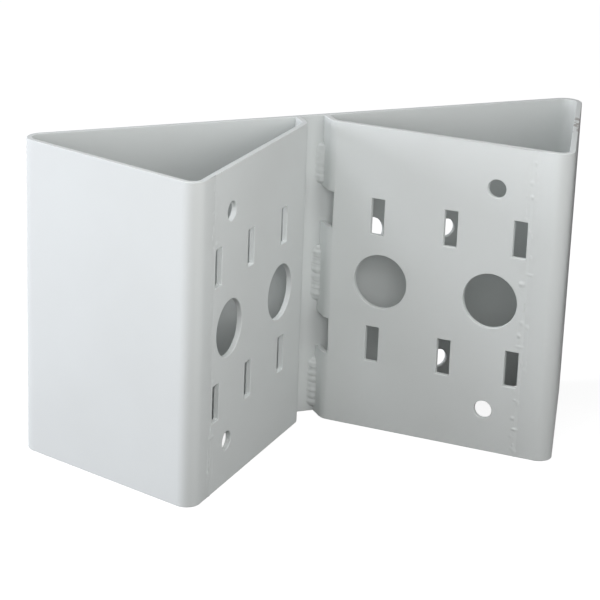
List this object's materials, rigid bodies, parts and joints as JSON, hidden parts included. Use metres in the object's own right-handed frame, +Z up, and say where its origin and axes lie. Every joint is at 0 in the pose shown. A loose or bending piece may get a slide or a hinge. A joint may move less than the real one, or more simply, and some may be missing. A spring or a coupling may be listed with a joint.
{
  "type": "camera corner mount bracket",
  "caption": "Folded and welded steel bracket that straddles a building's outside corner, with two perforated wall plates and a broad front plate for a security camera.",
  "frame": {"origin": "bottom centre of the bounding box, level with the bottom rims on which the bracket stands", "axes": "+Z up along the folds; +Y out of the front plate towards the camera; -Y towards the building; X across the front plate"},
  "size_m": [0.3148, 0.1046, 0.17],
  "materials": {
    "shell_paint": "satin pale grey-white powder coat",
    "wall_plate_paint": "satin pale grey-white powder coat",
    "weld_paint": "powder coat over rippled weld bead"
  },
  "bodies": {
    "root": {"front_shell": "shell_paint", "left_wall_plate": "wall_plate_paint", "right_wall_plate": "wall_plate_paint", "left_seam_weld": "weld_paint", "right_seam_weld": "weld_paint", "left_flange_weld": "weld_paint", "right_flange_weld": "weld_paint"}
  },
  "joints": []
}
